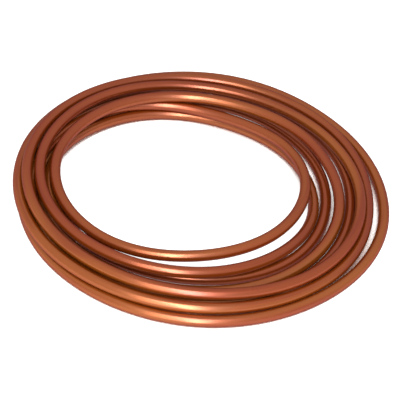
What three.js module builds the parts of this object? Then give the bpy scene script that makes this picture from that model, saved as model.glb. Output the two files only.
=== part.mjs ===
// A loose coil of soft copper tube lying flat on the ground.
// It is one continuous tube, wound in eight turns that cross over and under one another. They climb
// over each other at the back and on the left, and have slipped apart on the right, where daylight
// shows between them.
// Millimetres, +Z up. The origin lies on the ground under the middle of the coil.
import * as THREE from 'three';

// The tube: 3/8 in outside diameter, soft drawn.
const TUBE_DIAMETER = 9.525;
const WALL_THICKNESS = 0.81;
const COPPER_COLOUR = 0xb0623f;

// The pack: circles that the middles of the innermost and the outermost turn keep near.
const EYE_RADIUS = 106;
const EYE_SLIP_LEFT = 16.5;
const EYE_SLIP_BACK = 13;
const RIM_RADIUS = 159.5;

// One layer: a tube that nests in the groove between two others lies this far above them.
const LAYER_RISE = TUBE_DIAMETER * Math.sin(Math.PI / 3);

// Where the tube crosses eight directions of the coil, an eighth of a turn apart, turn by turn:
// [how far across the pack, 0 on the eye circle and 1 on the rim circle; how many layers up].
// A row goes round clockwise, as seen from above, and ends at the back, where the tube starts.
// Crossings are far enough apart that no turn touches another.
const FIRST_END = [0.85, 0.1];
const TURNS = [
  [[0.71, 0.3], [0.57, 0.2], [0.61, 0.2], [0.68, 0.3], [0.75, 0.6], [0.61, 1.1], [0.21, 1.3], [-0.2, 1.2]],
  [[-0.07, 1.5], [-0.01, 2.1], [0.03, 2], [0.05, 1.7], [0.17, 1.7], [0.15, 2.1], [-0.04, 2.4], [-0.01, 2.4]],
  [[0.25, 2.2], [0.42, 1.3], [0.48, 0.5], [0.49, 0.3], [0.46, 0.2], [0.48, 0], [0.44, 0.1], [0.41, 0.3]],
  [[0.32, 0.2], [0.27, 0], [0.3, 0.1], [0.27, 0.3], [0.28, 0.6], [0.27, 0.8], [0.06, 0.2], [-0.09, 0]],
  [[0, 0.2], [0.12, 0.4], [0.23, 1.2], [0.35, 1.7], [0.46, 2.1], [0.49, 2.3], [0.48, 2.5], [0.52, 2]],
  [[0.63, 1.6], [0.68, 1.4], [0.71, 1.4], [0.7, 1.7], [0.73, 2], [0.78, 2.2], [0.9, 2.1], [0.93, 1.7]],
  [[0.9, 1.1], [0.79, 0.3], [0.8, 0.5], [0.84, 0.9], [0.91, 1.3], [0.96, 1.3], [1.13, 1.2], [1.25, 1]],
  [[1.09, 0.5], [0.99, 0], [0.92, 0], [0.94, 0], [0.91, 0], [0.86, 0], [0.98, 0], [1.12, 0]],
];
const CROSSINGS_PER_TURN = 8;

// Facets.
const STEPS_PER_TURN = 36;
const OUTER_SIDES = 12;
const BORE_SIDES = 8;

const UP = new THREE.Vector3(0, 0, 1);

// Distance from the coil's axis to the eye circle in a direction.
function eyeReach(angle) {
  const along = EYE_SLIP_BACK * Math.sin(angle) - EYE_SLIP_LEFT * Math.cos(angle);
  const slip = EYE_SLIP_LEFT ** 2 + EYE_SLIP_BACK ** 2;
  return along + Math.sqrt(EYE_RADIUS ** 2 - slip + along ** 2);
}

// One smooth value through four neighbours, between the middle two.
function smoothThrough(before, from, to, after, share) {
  const start = 2 * from;
  const slope = (to - before) * share;
  const bend = (2 * before - 5 * from + 4 * to - after) * share ** 2;
  const twist = (3 * from - before - 3 * to + after) * share ** 3;
  return 0.5 * (start + slope + bend + twist);
}

// The middle of the tube, from its first end to its last, clockwise as seen from above.
class CoilRoute extends THREE.Curve {
  constructor() {
    super();
    this.crossings = [FIRST_END, ...TURNS.flat()];
  }

  // The crossing at a place in the list; past either end it goes on as it was going.
  crossing(index, column) {
    const last = this.crossings.length - 1;
    if (index < 0) {
      return 2 * this.crossings[0][column] - this.crossings[1][column];
    }
    if (index > last) {
      return 2 * this.crossings[last][column] - this.crossings[last - 1][column];
    }
    return this.crossings[index][column];
  }

  // A value at a place between crossings, counted in crossings from the first end.
  valueAt(place, column) {
    const from = Math.min(Math.floor(place), this.crossings.length - 2);
    return smoothThrough(
      this.crossing(from - 1, column),
      this.crossing(from, column),
      this.crossing(from + 1, column),
      this.crossing(from + 2, column),
      place - from,
    );
  }

  getPoint(t, target = new THREE.Vector3()) {
    const place = t * (this.crossings.length - 1);
    const angle = Math.PI / 2 - (place * 2 * Math.PI) / CROSSINGS_PER_TURN;
    const across = this.valueAt(place, 0);
    const layer = this.valueAt(place, 1);
    const reach = THREE.MathUtils.lerp(eyeReach(angle), RIM_RADIUS, across);
    const height = TUBE_DIAMETER / 2 + Math.max(layer, 0) * LAYER_RISE;
    return target.set(reach * Math.cos(angle), reach * Math.sin(angle), height);
  }

  // Steps are even in angle, so that turns lying side by side are faceted alike.
  getUtoTmapping(u) {
    return u;
  }

  // The section stays upright all along, so that one of its flats always faces the ground.
  computeFrenetFrames(segments) {
    const tangents = [];
    const normals = [];
    const binormals = [];
    for (let i = 0; i <= segments; i += 1) {
      const tangent = this.getTangentAt(i / segments);
      const normal = new THREE.Vector3().crossVectors(UP, tangent).normalize();
      tangents.push(tangent);
      normals.push(normal);
      binormals.push(new THREE.Vector3().crossVectors(tangent, normal));
    }
    return { tangents, normals, binormals };
  }
}

// Corners of a regular polygon whose flats touch the circle, with a flat at the bottom.
function polygon(radius, sides) {
  const cornerRadius = radius / Math.cos(Math.PI / sides);
  const corners = [];
  for (let i = 0; i < sides; i += 1) {
    const angle = ((i + 0.5) * 2 * Math.PI) / sides;
    corners.push(new THREE.Vector2(cornerRadius * Math.cos(angle), cornerRadius * Math.sin(angle)));
  }
  return corners;
}

function tubeSection() {
  const section = new THREE.Shape(polygon(TUBE_DIAMETER / 2, OUTER_SIDES));
  section.holes.push(new THREE.Path(polygon(TUBE_DIAMETER / 2 - WALL_THICKNESS, BORE_SIDES)));
  return section;
}

function copperTube() {
  const route = new CoilRoute();
  const geometry = new THREE.ExtrudeGeometry(tubeSection(), {
    steps: TURNS.length * STEPS_PER_TURN,
    bevelEnabled: false,
    extrudePath: route,
  });
  geometry.computeBoundingBox();
  const middle = geometry.boundingBox.getCenter(new THREE.Vector3());
  geometry.translate(-middle.x, -middle.y, 0);
  const copper = new THREE.MeshStandardMaterial({
    color: COPPER_COLOUR,
    metalness: 1,
    roughness: 0.35,
  });
  const tube = new THREE.Mesh(geometry, copper);
  tube.name = 'copper_tube';
  return tube;
}

const coil = new THREE.Group();
coil.name = 'copper_tube_coil';
coil.add(copperTube());

export default coil;
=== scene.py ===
"""A loose coil of soft copper tube, lying flat on a plain pale floor under soft studio light.

The coil is one continuous hollow tube wound in eight turns. The turns aren't tied together: they
cross over and under one another, climb three deep at the back and on the left, and have slipped
apart on the right. The drawn copper is lightly dulled, with soft warm patches along its length.

Everything is in metres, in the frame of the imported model: +Z up, the origin on the ground under
the middle of the coil.
"""
from __future__ import annotations

import logging
import math
from dataclasses import dataclass, field
from enum import Enum

import bpy
import numpy as np
from mathutils import Matrix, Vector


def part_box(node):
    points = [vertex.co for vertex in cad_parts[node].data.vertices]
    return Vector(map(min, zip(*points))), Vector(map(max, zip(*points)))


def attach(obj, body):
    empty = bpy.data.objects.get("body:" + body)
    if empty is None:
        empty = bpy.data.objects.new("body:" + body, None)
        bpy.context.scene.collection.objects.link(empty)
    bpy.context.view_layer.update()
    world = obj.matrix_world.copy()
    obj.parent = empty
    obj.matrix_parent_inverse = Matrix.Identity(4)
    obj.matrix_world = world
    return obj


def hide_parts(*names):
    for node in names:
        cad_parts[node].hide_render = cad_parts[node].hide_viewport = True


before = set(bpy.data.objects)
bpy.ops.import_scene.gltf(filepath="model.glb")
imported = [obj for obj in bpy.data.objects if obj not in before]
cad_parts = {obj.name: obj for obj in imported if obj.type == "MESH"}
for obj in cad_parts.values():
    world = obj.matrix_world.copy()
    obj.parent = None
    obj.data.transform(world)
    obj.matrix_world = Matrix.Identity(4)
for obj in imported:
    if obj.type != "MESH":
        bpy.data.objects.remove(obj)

log = logging.getLogger("copper_tube_coil")

CAD_NODE = "copper_tube"
PIECE = "drawn_tube"

# The attribute that holds each point's place on the tube laid straight.
STRAIGHTENED = "straightened"

# Points round a ring of the tube.
COLUMNS_PER_SECTION = 32

# How far to either side of a ring the tube's direction is taken, in crossings.
DIRECTION_STEP = 0.001

# Where the rings of a rolled edge stand, in multiples of its roundness from the end.
EDGE_RINGS = (0.35, 1.0, 2.5)

# The camera's film, in the millimetres that its lens is given in.
SENSOR_WIDTH = 36.0

Vector3 = tuple[float, float, float]
Colour = tuple[float, float, float]
Crossing = tuple[float, float]


# ---------------------------------------------------------------------------------------------
# Shader maths
# ---------------------------------------------------------------------------------------------


class Value:
    """One output socket, with ordinary arithmetic on it where it carries a number."""

    def __init__(self, shader: Shader, socket: bpy.types.NodeSocket | None) -> None:
        """Wraps a socket.

        Args:
            shader: The node tree that the socket belongs to.
            socket: The output socket, or None for a node that ends the tree.
        """
        self.shader = shader
        self.socket = socket

    def _math(self, operation: str, first: Value | float, second: Value | float) -> Value:
        """Adds a Math node.

        Args:
            operation: The node's operation.
            first: The left-hand operand.
            second: The right-hand operand.

        Returns:
            The result.
        """
        return self.shader.node("ShaderNodeMath", {"operation": operation}, {0: first, 1: second})

    def __add__(self, other: Value | float) -> Value:
        """self + other."""
        return self._math("ADD", self, other)

    def __radd__(self, other: float) -> Value:
        """other + self."""
        return self._math("ADD", other, self)

    def __sub__(self, other: Value | float) -> Value:
        """self - other."""
        return self._math("SUBTRACT", self, other)

    def __rsub__(self, other: float) -> Value:
        """other - self."""
        return self._math("SUBTRACT", other, self)

    def __mul__(self, other: Value | float) -> Value:
        """self * other."""
        return self._math("MULTIPLY", self, other)

    def __rmul__(self, other: float) -> Value:
        """other * self."""
        return self._math("MULTIPLY", other, self)

    def larger(self, other: Value | float) -> Value:
        """The larger of self and other."""
        return self._math("MAXIMUM", self, other)

    def step(self, low: float, high: float) -> Value:
        """A smooth step: 0 below low, 1 above high.

        Args:
            low: Where the step starts.
            high: Where it ends.

        Returns:
            The stepped value.
        """
        settings = {"interpolation_type": "SMOOTHSTEP", "clamp": True}
        inputs = {"Value": self, "From Min": low, "From Max": high, "To Min": 0.0, "To Max": 1.0}
        return self.shader.node("ShaderNodeMapRange", settings, inputs, "Result")


class Shader:
    """A node tree that is built from Python expressions."""

    def __init__(self, tree: bpy.types.NodeTree) -> None:
        """Empties the tree.

        Args:
            tree: The node tree of a material or of the world.
        """
        self.tree = tree
        tree.nodes.clear()

    def node(
        self,
        kind: str,
        settings: dict[str, object] | None = None,
        inputs: dict[str | int, object] | None = None,
        output: str | int = 0,
    ) -> Value:
        """Adds a node: its settings first, then the values or links of its sockets.

        Args:
            kind: The node's type.
            settings: The node's own properties.
            inputs: Numbers, colours or wrapped sockets for its input sockets.
            output: The output socket that is wanted.

        Returns:
            The wanted output.
        """
        made = self.tree.nodes.new(kind)
        for name, value in (settings or {}).items():
            setattr(made, name, value)
        for name, value in (inputs or {}).items():
            socket = made.inputs[name]
            if isinstance(value, Value):
                self.tree.links.new(value.socket, socket)
            else:
                socket.default_value = value
        return Value(self, made.outputs[output] if len(made.outputs) else None)

    def colour_mix(self, share: Value, first: Value | Colour, second: Colour) -> Value:
        """Blends two colours.

        Args:
            share: How much of the second colour, 0 to 1.
            first: The first colour.
            second: The second colour.

        Returns:
            The blended colour.
        """
        # The node has sockets of one name for each data type, so those for colours go by number.
        first = first if isinstance(first, Value) else (*first, 1.0)
        inputs = {0: share, 6: first, 7: (*second, 1.0)}
        return self.node("ShaderNodeMix", {"data_type": "RGBA"}, inputs, 2)

    def stretched(self, point: Value, scale: Vector3, shift: Vector3 = (0.0, 0.0, 0.0)) -> Value:
        """Scales a point along each axis and then moves it.

        Args:
            point: The point.
            scale: The factor along each axis.
            shift: What is added afterwards.

        Returns:
            The new point.
        """
        inputs = {0: point, 1: scale, 2: shift}
        return self.node("ShaderNodeVectorMath", {"operation": "MULTIPLY_ADD"}, inputs)

    def noise(self, point: Value, detail: float, roughness: float) -> Value:
        """Soft noise between 0 and 1 with features one unit apart.

        Args:
            point: Where the noise is read.
            detail: How many finer layers are added.
            roughness: How strong the finer layers are.

        Returns:
            The noise.
        """
        inputs = {"Vector": point, "Scale": 1.0, "Detail": detail, "Roughness": roughness}
        return self.node("ShaderNodeTexNoise", {"noise_dimensions": "3D"}, inputs, "Fac")


# ---------------------------------------------------------------------------------------------
# The tube
# ---------------------------------------------------------------------------------------------


class Side(Enum):
    """The long surfaces of the tube."""

    OUTSIDE = "outside"
    BORE = "bore"


class End(Enum):
    """The cut ends of the tube."""

    FIRST = "first"
    LAST = "last"


@dataclass(frozen=True)
class Winding:
    """The middle line of the tube, in metres, clockwise as seen from above.

    Attributes:
        tube_diameter: Outside diameter of the tube.
        eye_radius: Radius of the innermost circle.
        eye_slip_left: How far that circle has slipped towards -X.
        eye_slip_back: How far it has slipped towards +Y.
        rim_radius: Radius of the outermost circle.
        first_end: Where the tube starts, at the back: how far across the pack, 0 on the eye circle
            and 1 on the rim circle, and how many layers up.
        turns: Where it crosses eight directions of the coil, an eighth of a turn apart, in the
            same terms: one row for each turn, clockwise as seen from above and ending at the back.
    """

    tube_diameter: float = 0.009525
    eye_radius: float = 0.106
    eye_slip_left: float = 0.0165
    eye_slip_back: float = 0.013
    rim_radius: float = 0.1595
    first_end: Crossing = (0.85, 0.1)
    turns: tuple[tuple[Crossing, ...], ...] = (
        (
            (0.71, 0.3), (0.57, 0.2), (0.61, 0.2), (0.68, 0.3),
            (0.75, 0.6), (0.61, 1.1), (0.21, 1.3), (-0.2, 1.2),
        ),
        (
            (-0.07, 1.5), (-0.01, 2.1), (0.03, 2.0), (0.05, 1.7),
            (0.17, 1.7), (0.15, 2.1), (-0.04, 2.4), (-0.01, 2.4),
        ),
        (
            (0.25, 2.2), (0.42, 1.3), (0.48, 0.5), (0.49, 0.3),
            (0.46, 0.2), (0.48, 0.0), (0.44, 0.1), (0.41, 0.3),
        ),
        (
            (0.32, 0.2), (0.27, 0.0), (0.3, 0.1), (0.27, 0.3),
            (0.28, 0.6), (0.27, 0.8), (0.06, 0.2), (-0.09, 0.0),
        ),
        (
            (0.0, 0.2), (0.12, 0.4), (0.23, 1.2), (0.35, 1.7),
            (0.46, 2.1), (0.49, 2.3), (0.48, 2.5), (0.52, 2.0),
        ),
        (
            (0.63, 1.6), (0.68, 1.4), (0.71, 1.4), (0.7, 1.7),
            (0.73, 2.0), (0.78, 2.2), (0.9, 2.1), (0.93, 1.7),
        ),
        (
            (0.9, 1.1), (0.79, 0.3), (0.8, 0.5), (0.84, 0.9),
            (0.91, 1.3), (0.96, 1.3), (1.13, 1.2), (1.25, 1.0),
        ),
        (
            (1.09, 0.5), (0.99, 0.0), (0.92, 0.0), (0.94, 0.0),
            (0.91, 0.0), (0.86, 0.0), (0.98, 0.0), (1.12, 0.0),
        ),
    )

    @property
    def spans(self) -> int:
        """Number of stretches between neighbouring crossings."""
        return sum(map(len, self.turns))

    def even_places(self, per_turn: int) -> np.ndarray:
        """Even places along the coil, from its first end to its last.

        Args:
            per_turn: Steps for each turn.

        Returns:
            The places, counted in crossings from the first end.
        """
        steps = len(self.turns) * per_turn
        return np.arange(steps + 1) * (self.spans / steps)

    def eye_reach(self, angle: np.ndarray) -> np.ndarray:
        """Distance from the coil's axis to the eye circle in a direction.

        The eye circle's middle is off the axis, so the ray's length is the middle's part along the
        ray plus the root of the radius squared less the middle's part across it squared.

        Args:
            angle: Directions in radians, from +X towards +Y.

        Returns:
            The distances.
        """
        along = self.eye_slip_back * np.sin(angle) - self.eye_slip_left * np.cos(angle)
        slip = self.eye_slip_left**2 + self.eye_slip_back**2
        return along + np.sqrt(self.eye_radius**2 - slip + along**2)

    def smooth(self, place: np.ndarray) -> np.ndarray:
        """How far across and how many layers up, at places along the coil.

        A cubic runs through each four neighbouring crossings, between the middle two, so that
        values and slopes meet at every crossing; past either end the list goes on as it was going.

        Args:
            place: Places along the coil, counted in crossings from its first end.

        Returns:
            An array of two columns, one row for each place.
        """
        chart = np.vstack([self.first_end, *self.turns])
        chart = np.vstack([2 * chart[0] - chart[1], chart, 2 * chart[-1] - chart[-2]])
        span = np.clip(np.floor(place).astype(int), 0, self.spans - 1)
        share = (place - span)[:, None]
        before, start, end, after = (chart[span + shift] for shift in range(4))
        slope = (end - before) * share
        bend = (2 * before - 5 * start + 4 * end - after) * share**2
        twist = (3 * start - before - 3 * end + after) * share**3
        return 0.5 * (2 * start + slope + bend + twist)

    def line(self, place: np.ndarray) -> np.ndarray:
        """Points on the middle line, before the coil is centred.

        The point lies in the direction an eighth of a turn further clockwise for each crossing,
        at a reach between the eye circle and the rim circle, and half a diameter up plus its
        layers. A layer is what a tube rises when it nests in the groove between two others, which
        is the diameter times the sine of 60 degrees.

        Args:
            place: Places along the coil, counted in crossings from its first end.

        Returns:
            An array of points.
        """
        angle = math.pi / 2 - place * (2 * math.pi / len(self.turns[0]))
        across, layer = self.smooth(place).T
        inner = self.eye_reach(angle)
        reach = inner + (self.rim_radius - inner) * across
        rise = self.tube_diameter * math.sin(math.pi / 3)
        height = self.tube_diameter / 2 + np.maximum(layer, 0.0) * rise
        return np.stack([reach * np.cos(angle), reach * np.sin(angle), height], axis=1)


@dataclass(frozen=True)
class Sweep:
    """Rings of a tube along the winding.

    Attributes:
        middle: Middle of each ring.
        outward: Sideways direction of each ring, level with the ground.
        upward: The direction across both the tube and that one.
        length: Distance of each ring along the tube from its first end.
    """

    middle: np.ndarray
    outward: np.ndarray
    upward: np.ndarray
    length: np.ndarray

    @classmethod
    def along(cls, winding: Winding, place: np.ndarray, shift: np.ndarray) -> Sweep:
        """Puts upright rings on the middle line.

        The tube's direction at a ring is the difference of two points a very short way to either
        side of it; sideways is up cross that direction, and the third direction is the tube's
        direction cross sideways.

        Args:
            winding: The tube's route.
            place: Places of the rings, counted in crossings from the first end.
            shift: What moves the coil to the middle of its outline.

        Returns:
            The rings.
        """
        middle = winding.line(place) + shift
        ahead = winding.line(np.minimum(place + DIRECTION_STEP, winding.spans))
        behind = winding.line(np.maximum(place - DIRECTION_STEP, 0.0))
        tangent = ahead - behind
        tangent /= np.linalg.norm(tangent, axis=1, keepdims=True)
        outward = np.cross(np.array([0.0, 0.0, 1.0]), tangent)
        outward /= np.linalg.norm(outward, axis=1, keepdims=True)
        upward = np.cross(tangent, outward)
        gaps = np.linalg.norm(np.diff(middle, axis=0), axis=1)
        return cls(middle, outward, upward, np.concatenate([[0.0], np.cumsum(gaps)]))

    def points(self, radius: np.ndarray) -> tuple[np.ndarray, np.ndarray]:
        """Round rings of points.

        A point is the ring's middle plus the radius times the cosine of its angle sideways, plus
        the radius times the sine of its angle along the third direction.

        Args:
            radius: Radius of each ring.

        Returns:
            The points, and the same points on the tube laid straight: distance along it, then the
            two parts of the radius.
        """
        angle = np.arange(COLUMNS_PER_SECTION) * (2 * math.pi / COLUMNS_PER_SECTION)
        side = radius[:, None] * np.cos(angle)
        rise = radius[:, None] * np.sin(angle)
        points = self.middle[:, None] + side[..., None] * self.outward[:, None]
        points = points + rise[..., None] * self.upward[:, None]
        length = np.broadcast_to(self.length[:, None], side.shape)
        return points.reshape(-1, 3), np.stack([length, side, rise], axis=-1).reshape(-1, 3)


@dataclass
class CopperTube:
    """The coil: one hollow tube with a round bore and wheel-cut ends.

    Attributes:
        winding: The tube's route.
        wall: Thickness of the wall.
        cut_round: How far the cutting wheel rolls the outer edge of an end in.
        skin_rings: Rings of the outside for each turn.
        bore_rings: Rings of the bore for each turn.
        plain_steps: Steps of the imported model's solid for each turn, whose outline centres it.
    """

    winding: Winding = field(default_factory=Winding)
    wall: float = 0.00081
    cut_round: float = 0.0003
    skin_rings: int = 160
    bore_rings: int = 80
    plain_steps: int = 36

    def centring(self) -> np.ndarray:
        """What moves the coil's axis so that the middle of its outline is over the origin.

        The middle is halfway between the least and the greatest place that the rings reach, where
        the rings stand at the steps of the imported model.

        Returns:
            The shift.
        """
        place = self.winding.even_places(self.plain_steps)
        rings = Sweep.along(self.winding, place, np.zeros(3))
        points, _ = rings.points(np.full(len(place), self.winding.tube_diameter / 2))
        middle = (points.min(axis=0) + points.max(axis=0)) / 2
        return np.array([-middle[0], -middle[1], 0.0])

    def skin_places(self) -> np.ndarray:
        """Places of the outside's rings: even ones, and more at each end for its rolled edge.

        Returns:
            The places, counted in crossings from the first end.
        """
        even = self.winding.even_places(self.skin_rings)
        span_length = self.winding.rim_radius * 2 * math.pi / len(self.winding.turns[0])
        extra = self.cut_round * np.array(EDGE_RINGS) / span_length
        return np.sort(np.concatenate([even, extra, self.winding.spans - extra]))

    def rolled(self, rings: Sweep) -> np.ndarray:
        """Outer radius of each ring: a quarter ellipse turns the edge in at either end.

        The drop is the roundness times one less the root of one less the square of the ring's
        place in the edge, which is 1 at the very end and 0 from the edge's last ring on.

        Args:
            rings: The rings.

        Returns:
            The radii.
        """
        from_end = np.minimum(rings.length, rings.length[-1] - rings.length)
        inward = np.clip(1.0 - from_end / (EDGE_RINGS[-1] * self.cut_round), 0.0, 1.0)
        drop = self.cut_round * (1.0 - np.sqrt(1.0 - inward**2))
        return self.winding.tube_diameter / 2 - drop

    @staticmethod
    def sleeve(first: int, rings: int, side: Side) -> np.ndarray:
        """Faces between neighbouring rings.

        Args:
            first: Number of the first ring's first point.
            rings: Number of rings.
            side: Outside, whose faces look away from the middle line, or bore.

        Returns:
            Four corner numbers for each face.
        """
        ring = first + np.arange(rings - 1)[:, None] * COLUMNS_PER_SECTION
        column = np.arange(COLUMNS_PER_SECTION)
        here = ring + column
        beside = ring + (column + 1) % COLUMNS_PER_SECTION
        next_here, next_beside = here + COLUMNS_PER_SECTION, beside + COLUMNS_PER_SECTION
        faces = np.stack([here, beside, next_beside, next_here], -1).reshape(-1, 4)
        return faces if side is Side.OUTSIDE else faces[:, ::-1]

    @staticmethod
    def washer(outer: int, inner: int, end: End) -> np.ndarray:
        """Faces of the ring-shaped cut end between the outside and the bore.

        Args:
            outer: Number of the outer ring's first point.
            inner: Number of the bore ring's first point.
            end: The end that is closed.

        Returns:
            Four corner numbers for each face.
        """
        column = np.arange(COLUMNS_PER_SECTION)
        beside = (column + 1) % COLUMNS_PER_SECTION
        faces = np.stack([outer + column, outer + beside, inner + beside, inner + column], -1)
        return faces if end is End.LAST else faces[:, ::-1]

    def build(self) -> bpy.types.Object:
        """Makes the tube as one closed mesh.

        Returns:
            The tube's object, at the origin.
        """
        shift = self.centring()
        skin = Sweep.along(self.winding, self.skin_places(), shift)
        bore = Sweep.along(self.winding, self.winding.even_places(self.bore_rings), shift)
        bore_radius = np.full(len(bore.middle), self.winding.tube_diameter / 2 - self.wall)
        skin_points, skin_straight = skin.points(self.rolled(skin))
        bore_points, bore_straight = bore.points(bore_radius)

        skin_end = len(skin_points) - COLUMNS_PER_SECTION
        bore_start = len(skin_points)
        bore_end = bore_start + len(bore_points) - COLUMNS_PER_SECTION
        walls = [
            self.sleeve(0, len(skin.middle), Side.OUTSIDE),
            self.sleeve(bore_start, len(bore.middle), Side.BORE),
        ]
        ends = [
            self.washer(0, bore_start, End.FIRST),
            self.washer(skin_end, bore_end, End.LAST),
        ]
        smooth = np.repeat([True, False], [sum(map(len, walls)), sum(map(len, ends))])
        points = self.inside_outline(np.concatenate([skin_points, bore_points]))
        straight = np.concatenate([skin_straight, bore_straight])
        return self.mesh_object(points, np.concatenate(walls + ends), smooth, straight)

    @staticmethod
    def inside_outline(points: np.ndarray) -> np.ndarray:
        """Draws the coil in, level with the ground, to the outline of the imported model.

        That model's turns run straight from step to step, so its outline is a hair smaller than
        that of the smooth line. Each level axis is scaled by the share that the outline leaves.

        Args:
            points: The coil's points.

        Returns:
            The points inside the outline.
        """
        _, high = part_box(CAD_NODE)
        share = np.minimum(1.0, np.array(high)[:2] / np.abs(points[:, :2]).max(axis=0))
        return points * np.append(share, 1.0)

    @staticmethod
    def mesh_object(
        points: np.ndarray, faces: np.ndarray, smooth: np.ndarray, straight: np.ndarray
    ) -> bpy.types.Object:
        """Puts arrays into a new mesh and its object into the scene.

        Args:
            points: Corner points.
            faces: Four corner numbers for each face.
            smooth: Whether each face is shaded smooth.
            straight: Each point on the tube laid straight.

        Returns:
            The object.
        """
        mesh = bpy.data.meshes.new(PIECE)
        mesh.from_pydata(points, [], faces)
        mesh.polygons.foreach_set("use_smooth", smooth)
        laid = mesh.attributes.new(STRAIGHTENED, "FLOAT_VECTOR", "POINT")
        laid.data.foreach_set("vector", straight.astype(np.float32).ravel())
        mesh.update()
        tube = bpy.data.objects.new(PIECE, mesh)
        bpy.context.scene.collection.objects.link(tube)
        return tube


# ---------------------------------------------------------------------------------------------
# The finish
# ---------------------------------------------------------------------------------------------


@dataclass(frozen=True)
class DulledCopper:
    """Soft drawn copper with the light, patchy dulling of stored tube.

    The dulled metal is partly a mirror and partly matt, and turns dark where it curves out of
    sight. A very thin clear film of high index lies on it and gives whitish highlights.

    Attributes:
        ruddy: Colour of most of the metal.
        golden: Colour of the paler, cleaner stretches.
        golden_range: How strong the long patches' noise is where they start and are full.
        tarnish: Colour of the darker stretches.
        tarnish_range: How strong the patches' noise is where they start and are full.
        tarnish_share: How far the dullest patches turn to that colour.
        roughness: Roughness of clean metal and of the dullest metal.
        mirror_share: How much of the metal is a mirror; the rest is matt.
        limb_tint: What the mirror part is tinted with where it is seen edge on.
        film_share: How much of the surface the film covers.
        film_roughness: Roughness of the film.
        film_index: Refractive index of the film.
        patch_length: Length of a patch along the tube.
        patch_width: Width of a patch round the tube.
        long_patch_scale: How finely the long patches follow one another, next to the others.
        long_patch_shift: What keeps the long patches from falling in with the others.
        streak_length: Length of the fine lines that the die leaves along the tube.
        streak_width: Width of those lines.
        streak_height: Height of those lines.
        streak_strength: How strongly that height shows.
        streak_range: How strong the lines' noise is where they start to darken and are darkest.
        streak_tarnish: How far the darkest lines turn to the colour of tarnish.
        streak_roughness: What the lines add to the roughness at most.
    """

    ruddy: Colour = (0.210, 0.033, 0.002)
    golden: Colour = (0.250, 0.059, 0.005)
    golden_range: tuple[float, float] = (0.35, 0.65)
    tarnish: Colour = (0.175, 0.021, 0.001)
    tarnish_range: tuple[float, float] = (0.50, 0.72)
    tarnish_share: float = 0.7
    roughness: tuple[float, float] = (0.22, 0.36)
    mirror_share: float = 0.6
    limb_tint: Colour = (0.28, 0.05, 0.02)
    film_share: float = 0.095
    film_roughness: float = 0.28
    film_index: float = 4.0
    patch_length: float = 0.09
    patch_width: float = 0.006
    long_patch_scale: float = 0.3
    long_patch_shift: Vector3 = (7.0, 3.0, 5.0)
    streak_length: float = 0.025
    streak_width: float = 0.0004
    streak_height: float = 0.00002
    streak_strength: float = 0.4
    streak_range: tuple[float, float] = (0.5, 0.8)
    streak_tarnish: float = 0.12
    streak_roughness: float = 0.05

    def material(self) -> bpy.types.Material:
        """Builds the material.

        Returns:
            The material.
        """
        made = bpy.data.materials.new("dulled_copper")
        made.use_nodes = True
        shader = Shader(made.node_tree)
        settings = {"attribute_name": STRAIGHTENED}
        laid = shader.node("ShaderNodeAttribute", settings, output="Vector")

        across = 1.0 / self.patch_width
        patch_scale = (1.0 / self.patch_length, across, across)
        patches = shader.noise(shader.stretched(laid, patch_scale), detail=2.0, roughness=0.5)
        long_scale = tuple(self.long_patch_scale * scale for scale in patch_scale)
        long_laid = shader.stretched(laid, long_scale, self.long_patch_shift)
        long_patches = shader.noise(long_laid, detail=1.0, roughness=0.5)
        fine = 1.0 / self.streak_width
        streak_scale = (1.0 / self.streak_length, fine, fine)
        streaks = shader.noise(shader.stretched(laid, streak_scale), detail=1.0, roughness=0.6)

        dulled = patches.step(*self.tarnish_range)
        lined = streaks.step(*self.streak_range)
        colour = shader.colour_mix(long_patches.step(*self.golden_range), self.ruddy, self.golden)
        colour = shader.colour_mix(dulled * self.tarnish_share, colour, self.tarnish)
        colour = shader.colour_mix(lined * self.streak_tarnish, colour, self.tarnish)
        low, high = self.roughness
        roughness = low + (high - low) * dulled + self.streak_roughness * streaks
        bump = shader.node(
            "ShaderNodeBump",
            inputs={
                "Strength": self.streak_strength,
                "Distance": self.streak_height,
                "Height": streaks,
            },
            output="Normal",
        )
        surface = shader.node(
            "ShaderNodeBsdfPrincipled",
            inputs={
                "Base Color": colour,
                "Metallic": self.mirror_share,
                "Roughness": roughness,
                "Specular IOR Level": 0.0,
                "Specular Tint": (*self.limb_tint, 1.0),
                "Coat Weight": self.film_share,
                "Coat Roughness": self.film_roughness,
                "Coat IOR": self.film_index,
                "Normal": bump,
            },
        )
        shader.node("ShaderNodeOutputMaterial", inputs={"Surface": surface})
        return made


# ---------------------------------------------------------------------------------------------
# The studio
# ---------------------------------------------------------------------------------------------


@dataclass(frozen=True)
class Lamp:
    """A soft rectangular lamp that points at the coil.

    Attributes:
        name: The lamp's name.
        azimuth: Direction it stands in, in degrees from -Y towards +X.
        elevation: Height above the horizon, in degrees.
        distance: Distance from the coil's middle.
        size: Width and height of its face.
        power: Power in watts.
        colour: Colour of its light.
    """

    name: str
    azimuth: float
    elevation: float
    distance: float
    size: tuple[float, float]
    power: float
    colour: Colour

    def place(self) -> None:
        """Adds the lamp to the scene, turned so that its face looks at the origin.

        Its width stays level, and its height runs up and down as seen from the coil.
        """
        light = bpy.data.lights.new(self.name, "AREA")
        light.shape = "RECTANGLE"
        light.size, light.size_y = self.size
        light.energy = self.power
        light.color = self.colour
        lamp = bpy.data.objects.new(self.name, light)
        turn, tilt = math.radians(self.azimuth), math.radians(self.elevation)
        lamp.location = (
            self.distance * math.cos(tilt) * math.sin(turn),
            -self.distance * math.cos(tilt) * math.cos(turn),
            self.distance * math.sin(tilt),
        )
        lamp.rotation_euler = (math.pi / 2 - tilt, 0.0, turn)
        lamp.visible_camera = False
        bpy.context.scene.collection.objects.link(lamp)


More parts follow.
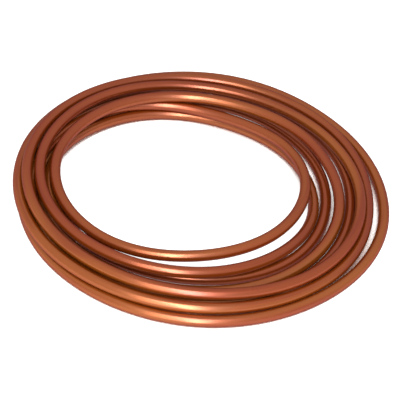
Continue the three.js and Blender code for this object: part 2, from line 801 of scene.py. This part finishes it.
@dataclass(frozen=True)
class Viewpoint:
    """Where the camera stands.

    Attributes:
        elevation: Its height above the horizon, in degrees.
        roll: How far its right-hand side is raised, in degrees.
        distance: Its distance from the middle of the view.
        pixel: Size of a pixel at that distance.
        image: Width of the image in pixels.
        axis_pixel: Pixel where the foot of the coil's axis is seen.
    """

    elevation: float = 38.90
    roll: float = 6.28
    distance: float = 1.270
    pixel: float = 0.0008659
    image: int = 400
    axis_pixel: tuple[float, float] = (200.36, 199.84)

    def place(self, axis: np.ndarray) -> None:
        """Adds the camera.

        The camera looks along +Y and down. It is moved sideways and up in its own plane so that
        the foot of the coil's axis falls on its pixel, and the lens makes a pixel its size.

        Args:
            axis: The foot of the coil's axis.
        """
        tilt, roll = math.radians(self.elevation), math.radians(self.roll)
        forward = np.array([0.0, math.cos(tilt), -math.sin(tilt)])
        level = np.array([1.0, 0.0, 0.0])
        raised = np.array([0.0, math.sin(tilt), math.cos(tilt)])
        right = math.cos(roll) * level + math.sin(roll) * raised
        up = math.cos(roll) * raised - math.sin(roll) * level
        middle = (self.image - 1) / 2
        aside = (self.axis_pixel[0] - middle) * self.pixel
        below = (self.axis_pixel[1] - middle) * self.pixel
        spot = axis - forward * self.distance - aside * right + below * up

        camera = bpy.data.cameras.new("camera")
        camera.sensor_width = SENSOR_WIDTH
        camera.lens = SENSOR_WIDTH * self.distance / (self.image * self.pixel)
        eye = bpy.data.objects.new("camera", camera)
        matrix = np.eye(4)
        matrix[:3] = np.stack([right, up, -forward, spot], axis=1)
        eye.matrix_world = Matrix(matrix.tolist())
        bpy.context.scene.collection.objects.link(eye)
        bpy.context.scene.camera = eye


@dataclass
class Studio:
    """A white room: pale floor, white surround, soft lamps and the camera.

    Attributes:
        floor_reach: Half the width of the floor.
        floor_colour: Colour of the floor.
        floor_glow: What the open floor adds where it is seen, which brings it up to white.
        shade_reach: How near the coil must stand round a spot on the floor to shade it.
        shade_range: How open to the sky the floor is where its painted shade is full and where
            there is none.
        painted_shade_colour: Colour painted on the floor at full shade: a painted shade, tinted to
            stand for light coming off the copper.
        shade_samples: How many directions the shade is worked out from.
        surround: Brightness of the room on dull surfaces.
        lamps: The lamps.
        viewpoint: The camera.
    """

    floor_reach: float = 6.0
    floor_colour: Colour = (0.60, 0.60, 0.60)
    floor_glow: float = 0.75
    shade_reach: float = 0.02
    shade_range: tuple[float, float] = (0.22, 0.36)
    painted_shade_colour: Colour = (0.25, 0.06, 0.02)
    shade_samples: int = 8
    surround: float = 0.65
    lamps: tuple[Lamp, ...] = (
        Lamp(
            "strip_lamp", azimuth=5.0, elevation=33.0, distance=1.5,
            size=(0.25, 2.1), power=46.0, colour=(0.92, 0.96, 0.96),
        ),
        Lamp(
            "side_strip_lamp", azimuth=-13.0, elevation=33.0, distance=1.5,
            size=(0.42, 2.1), power=15.0, colour=(1.0, 0.93, 0.74),
        ),
    )
    viewpoint: Viewpoint = field(default_factory=Viewpoint)

    @staticmethod
    def seen(shader: Shader) -> Value:
        """1 for rays that show the room itself: from the camera, off metal and through glass."""
        path = "ShaderNodeLightPath"
        camera = shader.node(path, output="Is Camera Ray")
        glossy = shader.node(path, output="Is Glossy Ray")
        through = shader.node(path, output="Is Transmission Ray")
        return camera.larger(glossy).larger(through)

    @staticmethod
    def matt(shader: Shader, colour: Colour) -> Value:
        """A matt surface of one colour."""
        return shader.node("ShaderNodeBsdfDiffuse", inputs={"Color": (*colour, 1.0)})

    @staticmethod
    def either(shader: Shader, share: Value, first: Value, second: Value) -> Value:
        """The first surface where share is 0, and the second where it is 1."""
        return shader.node("ShaderNodeMixShader", inputs={0: share, 1: first, 2: second})

    def room(self) -> None:
        """Makes the surround white where it is seen, and of its own brightness where it lights."""
        world = bpy.data.worlds.new("white_room")
        world.use_nodes = True
        shader = Shader(world.node_tree)
        strength = self.surround + (1.0 - self.surround) * self.seen(shader)
        white = {"Color": (1.0, 1.0, 1.0, 1.0), "Strength": strength}
        back = shader.node("ShaderNodeBackground", inputs=white)
        shader.node("ShaderNodeOutputWorld", inputs={"Surface": back})
        bpy.context.scene.world = world

    def floor(self) -> None:
        """Makes the floor: one square sheet at ground level that keeps the coil's shadow.

        Where the camera sees it between two turns, it loses its glow and is painted the shade's
        colour, a painted shade, by how little open sky is left within a short reach.
        """
        square = np.array([[-1, -1, 0], [1, -1, 0], [1, 1, 0], [-1, 1, 0]])
        mesh = bpy.data.meshes.new("floor")
        mesh.from_pydata(square * self.floor_reach, [], [(0, 1, 2, 3)])
        mesh.update()
        sheet = bpy.data.objects.new("floor", mesh)
        paint = bpy.data.materials.new("floor_paint")
        paint.use_nodes = True
        shader = Shader(paint.node_tree)
        settings = {"samples": self.shade_samples}
        reach = {"Distance": self.shade_reach}
        sky = shader.node("ShaderNodeAmbientOcclusion", settings, reach, "AO")
        camera = shader.node("ShaderNodeLightPath", output="Is Camera Ray")
        # Painted shade: where little sky is open nearby, the floor that the camera sees is painted
        # a dark copper tint.
        shade = camera * (1.0 - sky.step(*self.shade_range))
        matt = self.matt(shader, self.floor_colour)
        glow = shader.node("ShaderNodeEmission", inputs={"Strength": self.floor_glow})
        lit = shader.node("ShaderNodeAddShader", inputs={0: matt, 1: glow})
        surface = self.either(shader, self.seen(shader), matt, lit)
        surface = self.either(shader, shade, surface, self.matt(shader, self.painted_shade_colour))
        shader.node("ShaderNodeOutputMaterial", inputs={"Surface": surface})
        mesh.materials.append(paint)
        bpy.context.scene.collection.objects.link(sheet)

    def build(self, axis: np.ndarray) -> None:
        """Sets the whole studio up.

        Args:
            axis: The foot of the coil's axis.
        """
        self.room()
        self.floor()
        for lamp in self.lamps:
            lamp.place()
        self.viewpoint.place(axis)
        bpy.context.scene.view_settings.view_transform = "Standard"


def report(piece: bpy.types.Object) -> None:
    """Logs a piece's name, size and number of faces.

    Args:
        piece: The piece.
    """
    size = ", ".join(f"{side * 1000:.1f}" for side in piece.dimensions)
    log.info("%s: %s mm, %d faces", piece.name, size, len(piece.data.polygons))


def main() -> None:
    """Builds the coil and the studio, and notes the tube's size."""
    logging.basicConfig(level=logging.INFO, format="%(name)s %(message)s")
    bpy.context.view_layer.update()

    coil = CopperTube()
    tube = coil.build()
    tube.data.materials.append(DulledCopper().material())
    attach(tube, "root")
    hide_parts(CAD_NODE)
    bpy.context.view_layer.update()
    report(tube)

    Studio().build(coil.centring())


if __name__ == "__main__":
    main()
